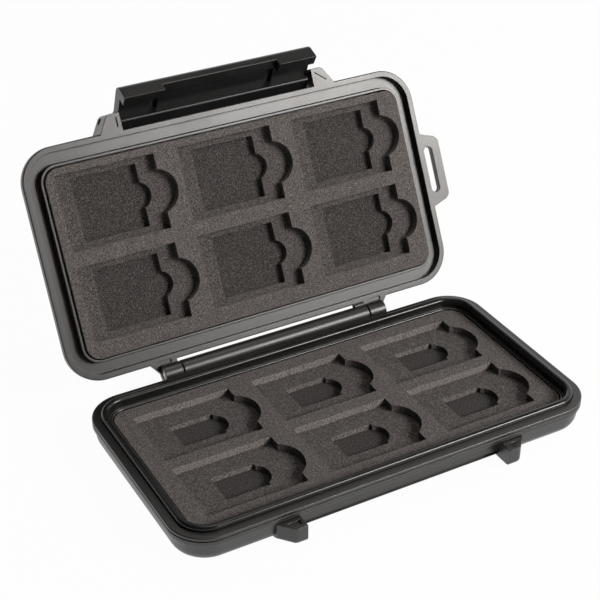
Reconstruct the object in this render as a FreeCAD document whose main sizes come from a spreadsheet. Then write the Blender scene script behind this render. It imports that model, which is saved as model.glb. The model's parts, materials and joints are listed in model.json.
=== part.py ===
import FreeCAD, Part
import math
import os
import Sketcher

# Memory card case, open: lengths in mm, angles in degrees, +Z up, underside of the base on z = 0
SIZES = {
    # outer form of the base
    "flange_length": 142.6,
    "flange_width": 76.2,
    "corner_radius": 12.0,
    "base_height": 10.2,
    "flange_height": 3.0,
    "wall_inset": 0.5,
    "wall_draft": 9.0,
    "lid_draft": 10.0,
    "bottom_round": 4.5,
    "base_floor": 3.0,
    # outer form of the lid
    "lip_inset": 0.4,
    "parting_gap": 0.2,
    "lid_height": 9.8,
    "lip_height": 2.6,
    "lid_wall_inset": 2.4,
    "top_round": 2.2,
    "lid_floor": 1.3,
    "edge_round": 0.4,
    "flange_groove_drop": 1.0,
    "flange_groove_height": 0.35,
    "flange_groove_depth": 0.3,
    "overcut": 1.0,
    # rim, seal and insert trays, from the outside in
    "lip_width": 2.0,
    "channel_depth": 2.4,
    "seal_clearance": 0.4,
    "channel_slack": 0.95,
    "seal_width": 2.3,
    "seal_rise": 1.5,
    "seal_seat": 1.4,
    "seal_round": 1.05,
    "seat_fit": 0.05,
    "rim_drop": 1.4,
    "lid_rim_rise": 0.3,
    "rib_width": 0.5,
    "liner_wall": 0.8,
    "liner_floor": 0.6,
    "lid_liner_wall": 0.9,
    "pad_gap": 0.3,
    "lid_pad_gap": 0.4,
    # foam pads
    "foam_recess": 1.9,
    "foam_gap": 0.9,
    "base_foam_top": 2.5,
    "base_foam_middle": 1.8,
    "lid_foam_top": 3.0,
    "lid_foam_middle": 2.2,
    "base_card_length": 33.0,
    "base_card_width": 24.1,
    "base_pitch_x": 40.9,
    "base_pitch_y": 28.76,
    "lid_card_length": 33.7,
    "lid_card_width": 24.6,
    "lid_pitch_x": 41.8,
    "lid_pitch_y": 29.4,
    "base_shift_x": 1.25,
    "base_shift_y": 0.1,
    "lid_shift_x": 2.15,
    "lid_shift_y": 1.35,
    "base_notch_chord": 15.6,
    "base_notch_radius": 9.1,
    "lid_notch_chord": 14.2,
    "lid_notch_radius": 7.3,
    "micro_length": 14.6,
    "micro_width": 11.0,
    "micro_notch_chord": 8.8,
    "micro_notch_radius": 5.0,
    "mini_length": 22.3,
    "mini_width": 20.6,
    "mini_notch_chord": 8.2,
    "mini_notch_radius": 4.3,
    # hinge
    "hinge_setback": 3.3,
    "axis_drop": 0.6,
    "barrel_radius": 3.0,
    "barrel_length": 69.4,
    "knuckle_length": 6.2,
    "knuckle_gap": 0.5,
    "arm_foot": 2.9,
    "arm_root": 3.0,
    "dimple_length": 4.9,
    "dimple_width": 1.1,
    "dimple_depth": 0.5,
    "web_drop": 0.9,
    "web_root": 3.0,
    "stop_rise": 0.9,
    "stop_length": 4.0,
    "stop_start": 45.0,
    "stop_finish": 80.0,
    "hinge_pin_radius": 1.25,
    "pin_clearance": 0.05,
    "hinge_pin_recess": 0.3,
    "lid_open": 117.1,
    # latch and the ears it turns in
    "latch_length": 68.8,
    "ear_clearance": 0.4,
    "ear_reach": 5.7,
    "ear_tip": 4.0,
    "ear_foot": 7.7,
    "ear_depth": 8.4,
    "ear_root": 4.6,
    "ear_round": 1.2,
    "recess_margin": 1.2,
    "recess_depth": 0.5,
    "latch_reach": 3.95,
    "latch_rise": 5.8,
    "latch_pin_radius": 1.0,
    "latch_pin_recess": 1.2,
    "latch_plate": 3.6,
    "latch_eye": 2.5,
    "latch_front": 1.6,
    "latch_corner": 3.2,
    "block_reach": 3.95,
    "block_foot": 2.5,
    "block_head": 2.4,
    "block_round": 0.8,
    "hook_height": 3.9,
    "hook_overhang": 2.8,
    "hook_length": 14.0,
    "hook_clearance": 0.5,
    "hook_cut": 1.9,
    "hook_slant": 0.6,
    "slot_width": 2.4,
    "slot_depth": 1.3,
    "slot_spacing": 41.6,
    "slot_shift": 1.5,
    "latch_open": 42.1,
    # guards on the base front
    "guard_gap": 0.5,
    "guard_reach": 4.6,
    "guard_tip": 4.0,
    "guard_foot": 7.8,
    "guard_height": 6.0,
    "guard_round": 1.6,
    "guard_root": 5.0,
    "guard_corner": 1.0,
    "land_depth": 2.2,
    "land_height": 5.0,
    # lanyard loop
    "loop_reach": 6.7,
    "loop_tip": 20.6,
    "loop_foot": 25.7,
    "loop_root": 2.0,
    "loop_thickness": 2.4,
    "loop_shift": 0.4,
    "loop_round": 1.8,
    "loop_slot_width": 3.3,
    "loop_slot_length": 16.7,
    "loop_bar": 3.2,
}

doc = FreeCAD.newDocument("memory_card_case")
sheet = doc.addObject("Spreadsheet::Sheet", "Sizes")
for row, (alias, number) in enumerate(SIZES.items(), start=1):
    sheet.set(f"A{row}", alias)
    sheet.set(f"B{row}", str(number))
    sheet.setAlias(f"B{row}", alias)
doc.recompute()


class Size:
    """A number kept together with the spreadsheet expression that gives it."""

    def __init__(self, value, text):
        self.value = value
        self.text = text

    @staticmethod
    def of(item):
        return item if isinstance(item, Size) else Size(float(item), str(item))

    def __add__(self, other):
        other = Size.of(other)
        return Size(self.value + other.value, f"({self.text} + {other.text})")

    def __radd__(self, other):
        return Size.of(other) + self

    def __sub__(self, other):
        other = Size.of(other)
        return Size(self.value - other.value, f"({self.text} - {other.text})")

    def __rsub__(self, other):
        return Size.of(other) - self

    def __mul__(self, other):
        other = Size.of(other)
        return Size(self.value * other.value, f"({self.text} * {other.text})")

    def __rmul__(self, other):
        return Size.of(other) * self

    def __truediv__(self, other):
        other = Size.of(other)
        return Size(self.value / other.value, f"({self.text} / {other.text})")

    def __neg__(self):
        return 0 - self

    def cos(self):
        return Size(math.cos(math.radians(self.value)), f"cos({self.text})")

    def sin(self):
        return Size(math.sin(math.radians(self.value)), f"sin({self.text})")


def size(alias):
    """The driving dimension with this name."""
    return Size(SIZES[alias], f"Sizes.{alias}")


def bind(item, path, amount):
    """Drive a property of an object from the spreadsheet."""
    item.setExpression(path, Size.of(amount).text)


def origin_item(body, role):
    """The body's own origin plane or axis with this role."""
    return next(item for item in body.Origin.OriginFeatures if item.Role == role)


def new_body(name):
    body = doc.addObject("PartDesign::Body", name)
    body.Label = name
    return body


def new_sketch(body, name, role="XY_Plane", offset=0.0):
    """A sketch on one of the body's origin planes, moved along its normal."""
    sketch = body.newObject("Sketcher::SketchObject", name)
    sketch.AttachmentSupport = [(origin_item(body, role), "")]
    sketch.MapMode = "FlatFace"
    if isinstance(offset, Size):
        bind(sketch, "AttachmentOffset.Base.z", offset)
    return sketch


def pin_point(sketch, geometry, end, x, y):
    """Hold one end of a curve at a driven place in the sketch."""
    for kind, amount in (("DistanceX", x), ("DistanceY", y)):
        amount = Size.of(amount)
        index = sketch.addConstraint(
            Sketcher.Constraint(kind, -1, 1, geometry, end, amount.value)
        )
        bind(sketch, f"Constraints[{index}]", amount)


def arc_between(start, finish, radius):
    """An arc that turns counter-clockwise by less than half a turn."""
    middle = (start + finish) * 0.5
    chord = finish - start
    rise = math.sqrt(max(radius * radius - chord.Length * chord.Length / 4, 0.0))
    normal = FreeCAD.Vector(-chord.y, chord.x, 0).normalize()
    centre = middle + normal * rise
    first = math.atan2(start.y - centre.y, start.x - centre.x)
    last = math.atan2(finish.y - centre.y, finish.x - centre.x)
    whole = Part.Circle(centre, FreeCAD.Vector(0, 0, 1), radius)
    return Part.ArcOfCircle(whole, first, last)


def outline(sketch, points):
    """A closed counter-clockwise outline: (x, y) starts a line, (x, y, radius) starts an arc."""
    first = sketch.GeometryCount
    spots = [FreeCAD.Vector(Size.of(p[0]).value, Size.of(p[1]).value, 0) for p in points]
    for index, point in enumerate(points):
        start = spots[index]
        finish = spots[(index + 1) % len(points)]
        if len(point) == 2:
            sketch.addGeometry(Part.LineSegment(start, finish))
        else:
            sketch.addGeometry(arc_between(start, finish, point[2].value))
    count = len(points)
    for index in range(count):
        before = first + (index - 1) % count
        sketch.addConstraint(Sketcher.Constraint("Coincident", before, 2, first + index, 1))
    for index, point in enumerate(points):
        pin_point(sketch, first + index, 1, point[0], point[1])
        if len(point) == 3:
            number = sketch.addConstraint(
                Sketcher.Constraint("Radius", first + index, point[2].value)
            )
            bind(sketch, f"Constraints[{number}]", point[2])


def rounded_rectangle(sketch, length, width, radius):
    """A rectangle with round corners about the sketch origin."""
    x = length / 2
    y = width / 2
    outline(sketch, [
        (radius - x, -y),
        (x - radius, -y, radius),
        (x, radius - y),
        (x, y - radius, radius),
        (x - radius, y),
        (radius - x, y, radius),
        (-x, y - radius),
        (-x, radius - y, radius),
    ])


def ring_at(sketch, inset):
    """The case outline moved inward by an inset."""
    rounded_rectangle(
        sketch,
        size("flange_length") - 2 * inset,
        size("flange_width") - 2 * inset,
        size("corner_radius") - inset,
    )


def circle(sketch, x, y, radius):
    spot = FreeCAD.Vector(Size.of(x).value, Size.of(y).value, 0)
    index = sketch.addGeometry(Part.Circle(spot, FreeCAD.Vector(0, 0, 1), radius.value))
    pin_point(sketch, index, 3, x, y)
    number = sketch.addConstraint(Sketcher.Constraint("Radius", index, radius.value))
    bind(sketch, f"Constraints[{number}]", radius)


def feature(body, kind, name, sketch, length, back, middle):
    item = body.newObject(kind, name)
    item.Profile = sketch
    item.Reversed = back
    if middle:
        item.SideType = "Symmetric"
    bind(item, "Length", length)
    body.Tip = item
    doc.recompute()
    return item


def pad(body, name, sketch, length, back=False, middle=False):
    return feature(body, "PartDesign::Pad", name, sketch, length, back, middle)


def pocket(body, name, sketch, length, back=False, middle=False):
    before = body.Shape.Volume
    item = feature(body, "PartDesign::Pocket", name, sketch, length, back, middle)
    if body.Shape.Volume > before - 1e-3:
        raise RuntimeError(f"{name} removes nothing")
    return item


def drafted_pad(body, name, sketch, length, draft, back=False):
    """A pad whose outline shrinks along its way."""
    item = pad(body, name, sketch, length, back)
    bind(item, "TaperAngle", -draft)
    doc.recompute()
    return item


def mirrored(body, name, originals):
    """The same features on the other side of the middle plane."""
    item = body.newObject("PartDesign::Mirrored", name)
    item.Originals = originals
    item.MirrorPlane = (origin_item(body, "YZ_Plane"), [""])
    body.Tip = item
    doc.recompute()
    return item


def edges_where(body, test):
    """Names of the edges of the body whose ends and middle all pass a test."""
    names = []
    for number, edge in enumerate(body.Shape.Edges, start=1):
        low, high = edge.ParameterRange
        spots = [edge.valueAt(low + (high - low) * share) for share in (0.02, 0.5, 0.98)]
        if all(test(spot) for spot in spots):
            names.append(f"Edge{number}")
    return names


def fillet(body, name, test, radius):
    base = body.Tip
    names = edges_where(body, test)
    if not names:
        raise RuntimeError(f"{name} finds no edge")
    item = body.newObject("PartDesign::Fillet", name)
    item.Base = (base, names)
    bind(item, "Radius", radius)
    body.Tip = item
    doc.recompute()
    return item


def near(number, amount, within=0.02):
    return abs(number - Size.of(amount).value) < within


def outline_inset(spot):
    """How far a point lies inside the case outline, seen from above."""
    radius = size("corner_radius").value
    x = abs(spot.x) - HALF_LENGTH.value + radius
    y = abs(spot.y) - HALF_WIDTH.value + radius
    return radius - math.hypot(max(x, 0), max(y, 0)) - min(max(x, y), 0)


# Places that several pieces share
HALF_LENGTH = size("flange_length") / 2
HALF_WIDTH = size("flange_width") / 2
FLANGE_FOOT = size("base_height") - size("flange_height")
LIP_PLANE = size("base_height") + size("parting_gap")
LIP_HALF_WIDTH = HALF_WIDTH - size("lip_inset")
LIP_HALF_LENGTH = HALF_LENGTH - size("lip_inset")
BASE_FOAM_FACE = size("base_height") - size("foam_recess")
LID_FOAM_FACE = BASE_FOAM_FACE + size("foam_gap")
AXIS_Y = HALF_WIDTH + size("hinge_setback")
AXIS_Z = size("base_height") - size("axis_drop")
CHANNEL_OUTER = size("lip_inset") + size("lip_width")
SEAL_OUTER = CHANNEL_OUTER + size("seal_clearance")
SEAL_INNER = SEAL_OUTER + size("seal_width")
CHANNEL_INNER = SEAL_INNER + size("channel_slack")
BASE_CAVITY = SEAL_INNER + size("rib_width")
BASE_LINER_INNER = BASE_CAVITY + size("seat_fit") + size("liner_wall")
BASE_PAD_INSET = BASE_LINER_INNER + size("pad_gap")
LID_LINER_INNER = CHANNEL_INNER + size("seat_fit") + size("lid_liner_wall")
LID_PAD_INSET = LID_LINER_INNER + size("lid_pad_gap")
LATCH_Y = LIP_HALF_WIDTH + size("latch_reach")
LATCH_Z = LIP_PLANE + size("latch_rise")
EAR_INNER = size("latch_length") / 2 + size("ear_clearance")
GUARD_INNER = size("latch_length") / 2 + size("guard_gap")
KNUCKLE_INNER = size("barrel_length") / 2 + size("knuckle_gap")
HINGE_BORE = size("hinge_pin_radius") + size("pin_clearance")
LATCH_BORE = size("latch_pin_radius") + size("pin_clearance")
LID_TURN = -size("lid_open")


def turned(y, z):
    """Where a point of the closed lid stands once the lid is open."""
    dy = y - AXIS_Y
    dz = z - AXIS_Z
    c = LID_TURN.cos()
    s = LID_TURN.sin()
    return AXIS_Y + dy * c - dz * s, AXIS_Z + dy * s + dz * c


def open_lid(body):
    """Swing a body drawn on the closed lid to the open position."""
    body.Placement = FreeCAD.Placement(
        FreeCAD.Vector(0, 0, 0), FreeCAD.Rotation(FreeCAD.Vector(1, 0, 0), LID_TURN.value)
    )
    y, z = turned(Size.of(0), Size.of(0))
    bind(body, "Placement.Base.y", y)
    bind(body, "Placement.Base.z", z)
    bind(body, "Placement.Rotation.Angle", LID_TURN)


def corner_block(sketch, side, inner, tip, foot, reach_y, edge_y, root_y, round_tip):
    """One trapezoid block in plan, standing out from the front wall on one side."""
    points = [
        (inner, -root_y),
        (inner, -reach_y),
        (inner + tip - round_tip, -reach_y, round_tip * 2),
        (inner + tip + round_tip * 0.6, round_tip * 0.8 - reach_y),
        (inner + foot, -edge_y),
        (inner + foot, -root_y),
    ]
    if side < 0:
        points = mirror_points(points)
    outline(sketch, points)


def corner_recess(sketch, side, inner, foot, edge_y, reach):
    """A triangle inside a trapezoid block, for a shallow recess in its face."""
    margin = size("recess_margin")
    points = [
        (inner + margin, margin - edge_y - reach),
        (inner + foot - 2 * margin, -edge_y - margin),
        (inner + margin, -edge_y - margin),
    ]
    outline(sketch, points if side > 0 else mirror_points(points))


def mirror_points(points):
    """The same outline on the other side of x = 0, still counter-clockwise."""
    flipped = []
    count = len(points)
    for index in range(count - 1, -1, -1):
        before = points[index - 1]
        spot = (-points[index][0], points[index][1])
        flipped.append(spot + (before[2],) if len(before) == 3 else spot)
    return flipped


# Base shell
base = new_body("base_shell")
flange_sketch = new_sketch(base, "base_flange_outline", offset=FLANGE_FOOT)
ring_at(flange_sketch, Size.of(0))
pad(base, "base_flange", flange_sketch, size("flange_height"))

wall_sketch = new_sketch(base, "base_wall_outline", offset=FLANGE_FOOT)
ring_at(wall_sketch, size("wall_inset"))
drafted_pad(base, "base_wall", wall_sketch, FLANGE_FOOT, size("wall_draft"), back=True)
fillet(base, "base_bottom_round", lambda p: near(p.z, 0), size("bottom_round"))
fillet(base, "base_flange_round", lambda p: near(outline_inset(p), 0), size("edge_round"))
flange_groove_sketch = new_sketch(
    base, "flange_groove_outline", offset=size("base_height") - size("flange_groove_drop")
)
ring_at(flange_groove_sketch, -size("overcut"))
ring_at(flange_groove_sketch, size("flange_groove_depth"))
pocket(base, "flange_groove", flange_groove_sketch, size("flange_groove_height"))

# Guards on the base front, one at each end of the latch
guard_sketch = new_sketch(base, "guard_outline", offset=FLANGE_FOOT)
for side in (1, -1):
    corner_block(
        guard_sketch,
        side,
        GUARD_INNER,
        size("guard_tip"),
        size("guard_foot"),
        HALF_WIDTH + size("guard_reach"),
        HALF_WIDTH,
        HALF_WIDTH - size("guard_root"),
        size("guard_corner"),
    )
pad(base, "guards", guard_sketch, size("guard_height"), back=True)
guard_foot_z = FLANGE_FOOT - size("guard_height")
fillet(
    base,
    "guard_bottom_round",
    lambda p: near(p.z, guard_foot_z) and p.y < 0.05 - HALF_WIDTH.value - size("guard_reach").value,
    size("guard_round"),
)

# Shallow triangles in the guard tops, and the land in the wall that the latch hooks swing into
guard_recess_sketch = new_sketch(base, "guard_recess_outline", offset=FLANGE_FOOT)
for side in (1, -1):
    corner_recess(
        guard_recess_sketch, side, GUARD_INNER, size("guard_foot"), HALF_WIDTH, size("guard_reach")
    )
pocket(base, "guard_recesses", guard_recess_sketch, size("recess_depth"))
land_sketch = new_sketch(base, "latch_land_outline", offset=FLANGE_FOOT)
outline(land_sketch, [
    (-GUARD_INNER, -HALF_WIDTH - size("guard_reach")),
    (GUARD_INNER, -HALF_WIDTH - size("guard_reach")),
    (GUARD_INNER, size("land_depth") - HALF_WIDTH),
    (-GUARD_INNER, size("land_depth") - HALF_WIDTH),
])
pocket(base, "latch_land", land_sketch, size("land_height"))

# Hinge barrel, its web and the stop on it
web_sketch = new_sketch(base, "hinge_web_outline", "YZ_Plane")
outline(web_sketch, [
    (HALF_WIDTH - size("web_root"), FLANGE_FOOT - size("web_root")),
    (AXIS_Y, AXIS_Z - size("barrel_radius")),
    (AXIS_Y, size("base_height") - size("web_drop")),
    (HALF_WIDTH - size("web_root"), size("base_height") - size("web_drop")),
])
pad(base, "hinge_web", web_sketch, size("barrel_length"), middle=True)
barrel_sketch = new_sketch(base, "hinge_barrel_outline", "YZ_Plane")
circle(barrel_sketch, AXIS_Y, AXIS_Z, size("barrel_radius"))
pad(base, "hinge_barrel", barrel_sketch, size("barrel_length"), middle=True)
stop_sketch = new_sketch(base, "hinge_stop_outline", "YZ_Plane", size("barrel_length") / 2)
stop_radius = size("barrel_radius") + size("stop_rise")
stop_corners = [
    (AXIS_Y + stop_radius * turn.cos(), AXIS_Z + stop_radius * turn.sin())
    for turn in (size("stop_start"), size("stop_finish"))
]
outline(stop_sketch, [(AXIS_Y, AXIS_Z)] + stop_corners)
pad(base, "hinge_stop", stop_sketch, size("stop_length"), back=True)

# Inside of the base
cavity_sketch = new_sketch(base, "base_cavity_outline", offset=size("base_height"))
ring_at(cavity_sketch, BASE_CAVITY)
pocket(base, "base_cavity", cavity_sketch, size("base_height") - size("base_floor"))
drop_sketch = new_sketch(base, "base_rib_outline", offset=size("base_height"))
ring_at(drop_sketch, SEAL_INNER)
pocket(base, "base_rib_top", drop_sketch, size("rim_drop"))
groove_sketch = new_sketch(base, "seal_groove_outline", offset=size("base_height"))
ring_at(groove_sketch, SEAL_OUTER - size("seat_fit"))
ring_at(groove_sketch, SEAL_INNER + size("seat_fit"))
pocket(base, "seal_groove", groove_sketch, size("seal_seat"))
bore_sketch = new_sketch(base, "barrel_bore_outline", "YZ_Plane")
circle(bore_sketch, AXIS_Y, AXIS_Z, HINGE_BORE)
pocket(base, "barrel_bore", bore_sketch, size("barrel_length") + 2 * size("overcut"), middle=True)

# Seal, bedded in the groove of the base rim
seal = new_body("base_seal")
seal_sketch = new_sketch(seal, "seal_outline", offset=size("base_height") - size("seal_seat"))
ring_at(seal_sketch, SEAL_OUTER)
ring_at(seal_sketch, SEAL_INNER)
pad(seal, "seal_ring", seal_sketch, size("seal_seat") + size("seal_rise"))
fillet(
    seal,
    "seal_crown",
    lambda p: near(p.z, size("base_height") + size("seal_rise")),
    size("seal_round"),
)


def tray(name, floor_z, rim_z, outer, wall, floor, upward):
    """An insert tray: a thin floor with a wall round it."""
    body = new_body(name)
    block_sketch = new_sketch(body, f"{name}_outline", offset=floor_z)
    ring_at(block_sketch, outer)
    height = rim_z - floor_z if upward else floor_z - rim_z
    pad(body, f"{name}_block", block_sketch, height, back=not upward)
    room_sketch = new_sketch(body, f"{name}_room_outline", offset=rim_z)
    ring_at(room_sketch, outer + wall)
    pocket(body, f"{name}_room", room_sketch, height - floor, back=not upward)
    return body


base_liner = tray(
    "base_liner",
    size("base_floor"),
    size("base_height") - size("rim_drop"),
    BASE_CAVITY + size("seat_fit"),
    size("liner_wall"),
    size("liner_floor"),
    True,
)


def sheet_of_foam(name, inset, low, thickness):
    """A foam sheet with the outline of the pad."""
    body = new_body(name)
    sketch = new_sketch(body, f"{name}_outline", offset=low)
    ring_at(sketch, inset)
    pad(body, f"{name}_sheet", sketch, thickness)
    return body


def card_windows(body, low, thickness, half, card, chord, radius):
    """Six card windows cut through a sheet, each with a finger notch on its right side."""
    sketch = new_sketch(body, f"{body.Label}_window_outline", offset=low + thickness)
    pitch_x = size(f"{half}_pitch_x")
    pitch_y = size(f"{half}_pitch_y")
    length = size(f"{card}_length")
    width = size(f"{card}_width")
    x = -size(f"{half}_shift_x") - pitch_x
    y = -size(f"{half}_shift_y") - pitch_y / 2
    outline(sketch, [
        (x - length / 2, y - width / 2),
        (x + length / 2, y - width / 2),
        (x + length / 2, y - chord / 2, radius),
        (x + length / 2, y + chord / 2),
        (x + length / 2, y + width / 2),
        (x - length / 2, y + width / 2),
    ])
    window = pocket(body, f"{body.Label}_window", sketch, thickness + size("overcut"))
    grid = body.newObject("PartDesign::LinearPattern", f"{body.Label}_windows")
    grid.Originals = [window]
    grid.Direction = (origin_item(body, "X_Axis"), [""])
    grid.Occurrences = 3
    bind(grid, "Length", 2 * pitch_x)
    grid.Direction2 = (origin_item(body, "Y_Axis"), [""])
    grid.Occurrences2 = 2
    bind(grid, "Length2", pitch_y)
    body.Tip = grid
    doc.recompute()


# Base pad: two die-cut sheets on a plain one
base_middle_z = BASE_FOAM_FACE - size("base_foam_top") - size("base_foam_middle")
base_top_z = BASE_FOAM_FACE - size("base_foam_top")
base_backing_z = size("base_floor") + size("liner_floor")
base_foam_backing = sheet_of_foam(
    "base_foam_backing", BASE_PAD_INSET, base_backing_z, base_middle_z - base_backing_z
)
base_foam_middle = sheet_of_foam("base_foam_middle", BASE_PAD_INSET, base_middle_z, size("base_foam_middle"))
card_windows(
    base_foam_middle,
    base_middle_z,
    size("base_foam_middle"),
    "base",
    "micro",
    size("micro_notch_chord"),
    size("micro_notch_radius"),
)
base_foam_top = sheet_of_foam("base_foam_top", BASE_PAD_INSET, base_top_z, size("base_foam_top"))
card_windows(
    base_foam_top,
    base_top_z,
    size("base_foam_top"),
    "base",
    "base_card",
    size("base_notch_chord"),
    size("base_notch_radius"),
)

# Lid shell, drawn closed on the base and then swung open
lid = new_body("lid_shell")
lip_sketch = new_sketch(lid, "lid_lip_outline", offset=LIP_PLANE)
ring_at(lip_sketch, size("lip_inset"))
pad(lid, "lid_lip", lip_sketch, size("lip_height"))
fillet(lid, "lid_lip_round", lambda p: near(outline_inset(p), size("lip_inset")), size("edge_round"))
lid_wall_sketch = new_sketch(lid, "lid_wall_outline", offset=LIP_PLANE + size("lip_height"))
ring_at(lid_wall_sketch, size("lip_inset") + size("lid_wall_inset"))
drafted_pad(
    lid,
    "lid_wall",
    lid_wall_sketch,
    size("lid_height") - size("lip_height"),
    size("lid_draft"),
)
fillet(lid, "lid_top_round", lambda p: near(p.z, LIP_PLANE + size("lid_height")), size("top_round"))

# Ears that hold the latch
ear_sketch = new_sketch(lid, "ear_outline", offset=LIP_PLANE)
for side in (1, -1):
    corner_block(
        ear_sketch,
        side,
        EAR_INNER,
        size("ear_tip"),
        size("ear_foot"),
        LIP_HALF_WIDTH + size("ear_reach"),
        LIP_HALF_WIDTH,
        LIP_HALF_WIDTH - size("ear_root"),
        size("ear_round"),
    )
pad(lid, "ears", ear_sketch, size("ear_depth"))

# Hinge arms and knuckles
arm_sketch = new_sketch(lid, "arm_outline", offset=LIP_PLANE)
for side in (1, -1):
    arm = [
        (KNUCKLE_INNER, LIP_HALF_WIDTH - size("arm_root")),
        (KNUCKLE_INNER + size("knuckle_length") + size("arm_foot"), LIP_HALF_WIDTH - size("arm_root")),
        (KNUCKLE_INNER + size("knuckle_length") + size("arm_foot"), LIP_HALF_WIDTH),
        (KNUCKLE_INNER + size("knuckle_length"), AXIS_Y),
        (KNUCKLE_INNER, AXIS_Y),
    ]
    outline(arm_sketch, arm if side > 0 else mirror_points(arm))
pad(lid, "arms", arm_sketch, size("barrel_radius") - (LIP_PLANE - AXIS_Z))
knuckle_sketch = new_sketch(lid, "knuckle_outline", "YZ_Plane", KNUCKLE_INNER)
circle(knuckle_sketch, AXIS_Y, AXIS_Z, size("barrel_radius"))
knuckle = pad(lid, "knuckle", knuckle_sketch, size("knuckle_length"))
mirrored(lid, "knuckles", [knuckle])

# Lanyard loop
loop_sketch = new_sketch(lid, "loop_outline", offset=LIP_PLANE)
loop_x = LIP_HALF_LENGTH + size("loop_reach")
loop_y = -size("loop_shift")
loop_round = size("loop_round")
outline(loop_sketch, [
    (LIP_HALF_LENGTH - size("loop_root"), loop_y - size("loop_foot") / 2),
    (LIP_HALF_LENGTH, loop_y - size("loop_foot") / 2),
    (loop_x - loop_round, loop_y - size("loop_tip") / 2 - loop_round * 0.5, loop_round * 1.5),
    (loop_x, loop_y - size("loop_tip") / 2 + loop_round),
    (loop_x, loop_y + size("loop_tip") / 2 - loop_round, loop_round * 1.5),
    (loop_x - loop_round, loop_y + size("loop_tip") / 2 + loop_round * 0.5),
    (LIP_HALF_LENGTH, loop_y + size("loop_foot") / 2),
    (LIP_HALF_LENGTH - size("loop_root"), loop_y + size("loop_foot") / 2),
])
pad(lid, "loop", loop_sketch, size("loop_thickness"))
loop_slot_sketch = new_sketch(lid, "loop_slot_outline", offset=LIP_PLANE)
slot_high = loop_x - size("loop_bar")
slot_low = slot_high - size("loop_slot_width")
slot_half = size("loop_slot_length") / 2 - size("loop_slot_width") / 2
slot_round = size("loop_slot_width") / 2 * 1.02
outline(loop_slot_sketch, [
    (slot_low, loop_y - slot_half, slot_round),
    (slot_high, loop_y - slot_half),
    (slot_high, loop_y + slot_half, slot_round),
    (slot_low, loop_y + slot_half),
])
pocket(lid, "loop_slot", loop_slot_sketch, size("loop_thickness") + size("overcut"), back=True)

# Inside of the lid and the channel that takes the seal
lid_cavity_sketch = new_sketch(lid, "lid_cavity_outline", offset=LIP_PLANE)
ring_at(lid_cavity_sketch, CHANNEL_INNER)
pocket(lid, "lid_cavity", lid_cavity_sketch, size("lid_height") - size("lid_floor"), back=True)
channel_sketch = new_sketch(lid, "channel_outline", offset=LIP_PLANE)
ring_at(channel_sketch, CHANNEL_OUTER)
pocket(lid, "channel", channel_sketch, size("channel_depth"), back=True)

# Recesses in the ear faces, dimples in the hinge arms, bores
recess_sketch = new_sketch(lid, "ear_recess_outline", offset=LIP_PLANE)
dimple_sketch = new_sketch(lid, "arm_dimple_outline", offset=LIP_PLANE)
for side in (1, -1):
    corner_recess(recess_sketch, side, EAR_INNER, size("ear_foot"), LIP_HALF_WIDTH, size("ear_reach"))
    dimple_x = KNUCKLE_INNER + size("knuckle_length") * 0.7
    half_width = size("dimple_width") / 2
    half_run = size("dimple_length") / 2 - half_width
    dimple = [
        (dimple_x - half_run, LIP_HALF_WIDTH - half_width),
        (dimple_x + half_run, LIP_HALF_WIDTH - half_width, half_width * 1.02),
        (dimple_x + half_run, LIP_HALF_WIDTH + half_width),
        (dimple_x - half_run, LIP_HALF_WIDTH + half_width, half_width * 1.02),
    ]
    outline(dimple_sketch, dimple if side > 0 else mirror_points(dimple))
pocket(lid, "ear_recesses", recess_sketch, size("recess_depth"), back=True)
pocket(lid, "arm_dimples", dimple_sketch, size("dimple_depth"), back=True)
for name, y, z, radius in (
    ("knuckle_bore", AXIS_Y, AXIS_Z, HINGE_BORE),
    ("ear_bore", -LATCH_Y, LATCH_Z, LATCH_BORE),
):
    hole_sketch = new_sketch(lid, f"{name}_outline", "YZ_Plane")
    circle(hole_sketch, y, z, radius)
    pocket(lid, name, hole_sketch, size("flange_length"), middle=True)
open_lid(lid)

# Lid insert tray and pad
lid_room_z = LIP_PLANE + size("lid_height") - size("lid_floor")
lid_liner = tray(
    "lid_liner",
    lid_room_z,
    LIP_PLANE - size("lid_rim_rise"),
    CHANNEL_INNER + size("seat_fit"),
    size("lid_liner_wall"),
    size("liner_floor"),
    False,
)
open_lid(lid_liner)
lid_middle_z = LID_FOAM_FACE + size("lid_foam_top")
lid_backing_z = lid_middle_z + size("lid_foam_middle")
lid_foam_top = sheet_of_foam("lid_foam_top", LID_PAD_INSET, LID_FOAM_FACE, size("lid_foam_top"))
card_windows(
    lid_foam_top,
    LID_FOAM_FACE,
    size("lid_foam_top"),
    "lid",
    "lid_card",
    size("lid_notch_chord"),
    size("lid_notch_radius"),
)
lid_foam_middle = sheet_of_foam("lid_foam_middle", LID_PAD_INSET, lid_middle_z, size("lid_foam_middle"))
card_windows(
    lid_foam_middle,
    lid_middle_z,
    size("lid_foam_middle"),
    "lid",
    "mini",
    size("mini_notch_chord"),
    size("mini_notch_radius"),
)
lid_foam_backing = sheet_of_foam(
    "lid_foam_backing",
    LID_PAD_INSET,
    lid_backing_z,
    lid_room_z - size("liner_floor") - lid_backing_z,
)
for pad_body in (lid_foam_top, lid_foam_middle, lid_foam_backing):
    open_lid(pad_body)

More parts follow.
